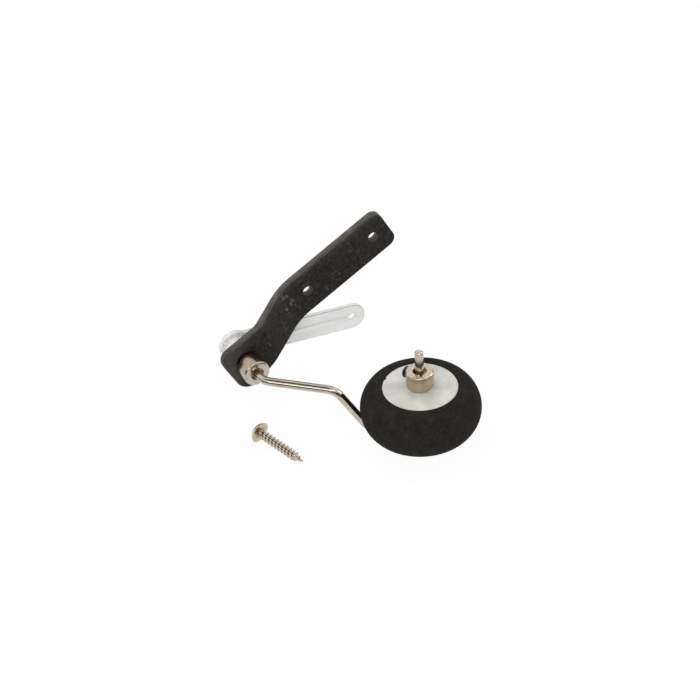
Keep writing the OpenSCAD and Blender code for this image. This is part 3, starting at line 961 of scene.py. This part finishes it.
def plateOutline(bm, tip, half, hubR):
    start = bm.verts.new((math.sqrt(hubR ** 2 - half ** 2), half, 0))
    opening = math.atan2(half, start.co.x)
    turned = sweepArc(bm, start, (0, 0, 0), (0, 0, 1), fullTurn - 2 * opening, 40)
    corner = bm.verts.new((tip, -half, 0))
    bm.edges.new((turned, corner))
    last = sweepArc(bm, corner, (tip, 0, 0), (0, 0, 1), math.pi, 28)
    bm.edges.new((last, start))


def buildTiller():
    half, tip = tiller["width"] / 2, tiller["length"] - tiller["width"] / 2
    plate = bmesh.new()
    plateOutline(plate, tip, half, tiller["hub"] / 2)
    bmesh.ops.create_circle(plate, cap_ends=False, radius=tiller["hole"] / 2, segments=32,
                            matrix=Matrix.Translation((tip, 0, 0)))
    fillOutline(plate)
    thicken(plate, tiller["thick"])
    soften(plate, tiller["rim"], 4, 60, False)
    boss = bmesh.new()
    top = tiller["thick"] + tiller["bossHeight"]
    sink = tiller["bossSink"]
    addRod(boss, tiller["boss"], top - sink, 64, lift((top + sink) / 2))
    soften(boss, tiller["rim"], 3)
    rib = bmesh.new()
    ribEnd = tip - tiller["hole"]
    middle = Matrix.Translation((ribEnd / 2, 0, tiller["thick"]))
    bmesh.ops.create_cube(rib, size=1, matrix=middle @ Matrix.Diagonal(
        (ribEnd, tiller["ribWidth"], 2 * tiller["ribHeight"], 1)))
    soften(rib, tiller["ribRim"], 4)
    bm = joinSolids(plate, [boss, rib], "UNION")
    drill = bmesh.new()
    addRod(drill, tiller["bore"], 4 * top, 40)
    bm = joinSolids(bm, [drill], "DIFFERENCE")
    bm.normal_update()
    for face in bm.faces:
        # the slanted faces of the front rim take the edge finish with its painted reflection
        slanted = 0.2 < abs(face.normal.z) < 0.98
        frontRim = tiller["thick"] / 2 < face.calc_center_median().z < tiller["thick"]
        face.material_index = 1 if slanted and frontRim else 0
    turn = Matrix.Rotation(-math.radians(tiller["turn"]), 4, "Y")
    place = postPlace @ turn @ Matrix.Translation((0, tiller["back"], 0)) @ alongPost
    piece = addPiece("tillerArm", bm, place, "strut", "tiller_arm", "clear_plastic",
                     clearPlastic(), plasticEdge())
    evenShading(piece)


buildTiller()
print("tiller moulded")


# wheel

hub = {
    "size": 18.8,
    "width": 12.6,
    "flangeThick": 1.1,
    "barrel": 14.0,
    "barrelWall": 1.1,
    "tube": 5.0,
    "bore": 2.3,
    "boss": 6.6,
    "bossHeight": 0.3,
    "ribs": 6,
    "ribThick": 0.9,
    "ribSink": 0.3,
    "spigotHeight": 1.2,
    "spigotWall": 0.8,
    "fit": 0.02,
    "rim": 0.12,
    "nickTurn": 130.0,       # degrees about the axle
    "nick": 1.0,
    "nickDepth": 0.9,
    "ribGap": 0.3,           # between the outer half's ribs and the spigot
}
tyre = {
    "size": 30.3,
    "width": 12.9,
    "shoulder": 4.2,
    "crownDepth": 5.0,
    "aroundSteps": 420,
    "shoulderSteps": 26,
    "crownSteps": 70,
    "cell": 0.32,            # size of the foam's cells
    "cellDepth": 0.05,
}


def hubNylon():
    finish, tree, shader = newFinish("translucent nylon")
    local = localMm(tree, wheelHeart)
    axes = axesOf(tree, local)
    around = two(tree, "ARCTAN2", axes["Y"], axes["X"])
    # painted shade: a faint six-fold pattern for the ribs behind the face
    ribs = one(tree, "COSINE", two(tree, "MULTIPLY", around, hub["ribs"]))
    cloud = grain(tree, local, 0.35, 3)
    fine = grain(tree, local, 3.0, 3)
    shade = two(tree, "ADD", two(tree, "MULTIPLY", ribs, 0.08), cloud)
    setShader(tree, shader, {
        "Base Color": tint(tree, spread(tree, shade, 0.3, 0.7), (0.51, 0.513, 0.457),
                           (0.62, 0.62, 0.568)),
        "Roughness": spread(tree, fine, 0.3, 0.7, 0.38, 0.52),
        "Subsurface Weight": 0.6,
        "Subsurface Radius": (1.0, 1.0, 0.9),
        "Subsurface Scale": 1.2 * mm,
        "Normal": bumpOn(tree, fine, 0.1, 0.03),
    })
    return finish


def hubShell(bossSize):
    # one half above the middle of the wheel: flange, barrel and axle tube
    bore, tube, boss, outer = (size / 2 for size in (hub["bore"], hub["tube"], bossSize, hub["size"]))
    barrel = hub["barrel"] / 2
    inner = barrel - hub["barrelWall"]
    face = hub["width"] / 2
    under = face - hub["flangeThick"]
    end = face + hub["bossHeight"]
    bm = bmesh.new()
    turnProfile(bm, [(bore, 0), (tube, 0), (tube, under), (inner, under), (inner, 0), (barrel, 0),
                     (barrel, under), (outer, under), (outer, face), (boss, face), (boss, end),
                     (bore, end)], 120)
    clean(bm)
    soften(bm, hub["rim"], 3)
    return bm


def addRibs(bm, ribFoot):
    # from the axle tube to the barrel, with their ends inside both and inside the flange
    tube, inner = hub["tube"] / 2, hub["barrel"] / 2 - hub["barrelWall"]
    under = hub["width"] / 2 - hub["flangeThick"]
    reach, overlap = inner - tube, hub["ribSink"]
    for index in range(hub["ribs"]):
        turn = Matrix.Rotation(index * fullTurn / hub["ribs"], 4, "Z")
        middle = Matrix.Translation(((tube + inner) / 2, 0, (ribFoot + under) / 2 + overlap / 2))
        bmesh.ops.create_cube(bm, size=1, matrix=turn @ middle @ Matrix.Diagonal(
            (reach + 2 * overlap, hub["ribThick"], under - ribFoot + overlap, 1)))


def buildHub():
    nylon = hubNylon()
    outer = hubShell(hub["boss"])
    nick = bmesh.new()
    turn = Matrix.Rotation(math.radians(hub["nickTurn"]), 4, "Z")
    addRod(nick, hub["nick"], hub["nickDepth"], 24,
           turn @ Matrix.Translation((hub["size"] / 2, 0, hub["width"] / 2)))
    outer = joinSolids(outer, [nick], "DIFFERENCE")
    addRibs(outer, hub["spigotHeight"] + hub["ribGap"])
    evenShading(addPiece("hubOuter", outer, wheelPlace, "wheel", "hub_outer", "hub_nylon", nylon), 30)
    inner = hubShell(hub["tube"])
    addRibs(inner, 0)
    bmesh.ops.scale(inner, verts=inner.verts[:], vec=(1, 1, -1))
    bmesh.ops.recalc_face_normals(inner, faces=inner.faces[:])
    spigot = hub["barrel"] / 2 - hub["barrelWall"] - hub["fit"]
    tall = hub["spigotHeight"]
    turnProfile(inner, [(spigot, -tall), (spigot, tall), (spigot - hub["spigotWall"], tall),
                        (spigot - hub["spigotWall"], -tall)], 96)
    clean(inner)
    evenShading(addPiece("hubInner", inner, wheelPlace, "wheel", "hub_inner", "hub_nylon", nylon), 30)


def foamRubber():
    finish, tree, shader = newFinish("foam rubber")
    local = localMm(tree, wheelHeart)
    cells = put(tree, "TexVoronoi", {"Vector": local, "Scale": 1 / tyre["cell"]}).outputs["Distance"]
    fine = grain(tree, local, 6.0, 4)
    cloud = grain(tree, local, 0.4, 3)
    pit = two(tree, "ADD", two(tree, "MULTIPLY", cells, 0.6), two(tree, "MULTIPLY", fine, 0.6))
    tone = two(tree, "ADD", two(tree, "MULTIPLY", pit, 0.7), two(tree, "MULTIPLY", cloud, 0.5))
    setShader(tree, shader, {
        "Base Color": tint(tree, spread(tree, tone, 0.35, 0.95), (0.002, 0.0016, 0.0011),
                           (0.0275, 0.0243, 0.0203)),
        "Roughness": spread(tree, fine, 0.3, 0.7, 0.82, 0.95),
        "Specular IOR Level": 0.12,
        "Normal": bumpOn(tree, pit, 0.5, 0.08),
    })
    return finish


def tyreProfile(bm):
    radius, half = tyre["size"] / 2, tyre["width"] / 2
    bend, depth = tyre["shoulder"], tyre["crownDepth"]
    widest, shoulderZ = radius - depth, half - bend
    crownR = (bend ** 2 - depth ** 2 - shoulderZ ** 2) / (2 * (bend - depth))
    lean = math.atan2(shoulderZ, widest - (radius - crownR))   # where the crown meets the shoulder
    seat = hub["barrel"] / 2 + hub["fit"]
    seatHalf = hub["width"] / 2 - hub["flangeThick"] - hub["fit"]
    wall = hub["size"] / 2 + hub["fit"]
    past = math.asin((widest - wall) / bend)                   # the shoulder falls away towards the hub
    axis = (0, 1, 0)
    start = bm.verts.new((wall, 0, shoulderZ + bend * math.cos(past)))
    turn = math.pi / 2 - lean + past
    spot = sweepArc(bm, start, (widest, 0, shoulderZ), axis, turn, tyre["shoulderSteps"])
    spot = sweepArc(bm, spot, (radius - crownR, 0, 0), axis, 2 * lean, tyre["crownSteps"])
    spot = sweepArc(bm, spot, (widest, 0, -shoulderZ), axis, turn, tyre["shoulderSteps"])
    inner = [bm.verts.new(place) for place in
             ((wall, 0, -seatHalf), (seat, 0, -seatHalf), (seat, 0, seatHalf), (wall, 0, seatHalf))]
    for pair in zip([spot, *inner], [*inner, start]):
        bm.edges.new(pair)


def buildTyre():
    bm = bmesh.new()
    tyreProfile(bm)
    lathe(bm, bm.verts[:] + bm.edges[:], tyre["aroundSteps"])
    clean(bm)
    bm.normal_update()
    # open cells pit the skin; it only sinks, so the tyre keeps its size
    for vert in bm.verts:
        if math.hypot(vert.co.x, vert.co.y) > hub["size"] / 2 + 0.1:
            pit = noise.noise(vert.co / tyre["cell"]) + 0.5 * noise.noise(vert.co * 2.3 / tyre["cell"])
            vert.co = vert.co - vert.normal * tyre["cellDepth"] * min(1.0, max(0.0, 0.5 + 0.5 * pit))
    piece = addPiece("tyre", bm, wheelPlace, "wheel", "tyre", "foam_rubber", foamRubber())
    piece.data.set_sharp_from_angle(angle=math.radians(60))


buildHub()
buildTyre()
print("wheel built")


# loose fixing screw

screw = {
    "size": 2.6,
    "core": 1.75,
    "length": 14.5,
    "point": 2.6,
    "head": 5.6,
    "headHeight": 1.9,
    "pitch": 1.1,
    "crest": 0.1,
    "flank": 0.32,           # half the ridge's foot, as a share of the pitch
    "bury": 0.08,            # the ridge's foot inside the shank
    "neck": 0.2,             # the shank's end inside the head
    "runOut": 0.25,          # from the end of the ridge to the tip
    "tip": 0.24,
    "recess": 2.8,
    "recessWidth": 0.8,
    "recessDepth": 1.1,
    "spot": (-5.2, -17.3),   # head, beside and in front of the foot
    "heading": -68.4,
    "sides": 40,
    "tone": (0.68, 0.597, 0.494),
    "shadeTone": (0.15, 0.122, 0.092),
}


def screwNickel(spot, turn):
    # bright root and crests, with painted shade on the flanks of the thread and under the head
    finish, tree, shader = newFinish("screw nickel")
    local = localMm(tree, spot, turn)
    sides = axesOf(tree, ringCoords(tree, local))
    marks = grain(tree, local, 6.0, 3)
    cloud = grain(tree, local, 1.1, 3)
    core, crest = screw["core"] / 2, screw["size"] / 2
    flank = two(tree, "MULTIPLY", spread(tree, sides["X"], core + 0.02, core + 0.1),
                spread(tree, sides["X"], crest - 0.25, crest - 0.1, 0.75, 0.0))
    underHeadShade = spread(tree, two(tree, "ADD", sides["X"], cloud), 1.6, 2.5, 0.75, 0.24)
    onHead = spread(tree, sides["Y"], 0.0, 0.12, 1.0, 0.0)
    below = spread(tree, sides["Y"], -0.12, -0.06)
    # painted shade, on the thread's flanks and round the shank under the head
    screwShade = two(tree, "MULTIPLY", either(tree, onHead, flank, underHeadShade), below)
    plate = tint(tree, spread(tree, cloud, 0.3, 0.7), tuple(0.82 * part for part in screw["tone"]),
                 screw["tone"])
    setShader(tree, shader, {
        "Base Color": blendColours(tree, screwShade, plate, (*screw["shadeTone"], 1)),
        "Metallic": 1.0,
        "Roughness": spread(tree, marks, 0.3, 0.7, 0.1, 0.22),
        "Normal": bumpOn(tree, marks, 0.12, 0.02),
    })
    return finish


def screwHead():
    radius, tall = screw["head"] / 2, screw["headHeight"]
    domeR = (radius ** 2 + tall ** 2) / (2 * tall)
    bm = bmesh.new()
    top = bm.verts.new((0, 0, -tall))
    rim = sweepArc(bm, top, (0, 0, domeR - tall), (0, -1, 0), math.asin(radius / domeR), 14)
    rimLow = bm.verts.new((rim.co.x, 0, 0))
    middle = bm.verts.new((0, 0, 0))
    bm.edges.new((rim, rimLow))
    bm.edges.new((rimLow, middle))
    lathe(bm, bm.verts[:] + bm.edges[:], 72)
    clean(bm)
    cross = []
    for turn in (0, math.pi / 2):
        arm = bmesh.new()
        made = bmesh.ops.create_cube(arm, size=1, matrix=Matrix.Rotation(turn, 4, "Z") @ lift(
            screw["recessDepth"] / 2 - tall - 0.5) @ Matrix.Diagonal(
                (screw["recess"], screw["recessWidth"], screw["recessDepth"] + 1, 1)))
        deep = [vert for vert in made["verts"] if vert.co.z > -tall]
        bmesh.ops.scale(arm, verts=deep, vec=(0.55, 0.55, 1))
        cross.append(arm)
    bm = joinSolids(bm, cross, "DIFFERENCE")
    soften(bm, 0.05, 2, 40)
    return bm


def screwShank(bm):
    core, crest = screw["core"] / 2, screw["size"] / 2
    body = screw["length"] - screw["point"]
    turnProfile(bm, [(0, -screw["neck"]), (core, -screw["neck"]), (core, body),
                     (screw["tip"] / 2, screw["length"]), (0, screw["length"])],
                screw["sides"], closed=False)
    clean(bm)
    first = set(bm.verts)
    flank = screw["flank"] * screw["pitch"]
    start = 0.5 * screw["pitch"]
    turns = (screw["length"] - screw["runOut"] - start) / screw["pitch"]
    steps = round(turns * screw["sides"])
    foot, land = core - screw["bury"], screw["crest"] / 2
    verts, edges = drawLine(bm, [(foot, 0, start - flank), (crest, 0, start - land),
                                 (crest, 0, start + land), (foot, 0, start + flank)], True)
    bm.faces.new(verts)
    swept = bmesh.ops.spin(bm, geom=verts + edges, cent=(0, 0, 0), axis=(0, 0, 1),
                           dvec=(0, 0, screw["pitch"] / screw["sides"]), angle=fullTurn * turns,
                           steps=steps)
    lastEdges = [item for item in swept["geom_last"] if isinstance(item, bmesh.types.BMEdge)]
    bmesh.ops.edgenet_fill(bm, edges=lastEdges)
    # the ridge runs in under the head and down to the point
    for vert in bm.verts:
        if vert in first:
            continue
        radius = math.hypot(vert.co.x, vert.co.y)
        fade = min(1.0, max(0.0, (vert.co.z - start) / screw["pitch"] + 0.3))
        slim = min(1.0, max(0.0, (screw["length"] - vert.co.z) / screw["point"]))
        lean = core * slim + (radius - core) * fade * (0.35 + 0.65 * slim)
        vert.co.x *= lean / radius
        vert.co.y *= lean / radius


def buildScrew():
    bm = screwHead()
    screwShank(bm)
    bmesh.ops.recalc_face_normals(bm, faces=bm.faces[:])
    lean = math.asin((screw["head"] - screw["size"]) / 2 / (screw["length"] - screw["point"]))
    rise = screw["head"] / 2 * math.cos(lean)
    spot = Vector((postFoot.x, postFoot.y, 0)) + Vector((*screw["spot"], rise)) * mm
    place = (Matrix.Translation(spot) @ Matrix.Rotation(math.radians(screw["heading"]), 4, "Z")
             @ Matrix.Rotation(lean, 4, "Y") @ Matrix.Rotation(math.pi / 2, 4, "Y") @ toMetres)
    piece = addPiece("fixingScrew", bm, place, "strut", "fixing_screw", "screw_nickel",
                     screwNickel(spot, place.to_quaternion().to_euler()))
    evenShading(piece, 35)


buildScrew()
print("screw threaded")
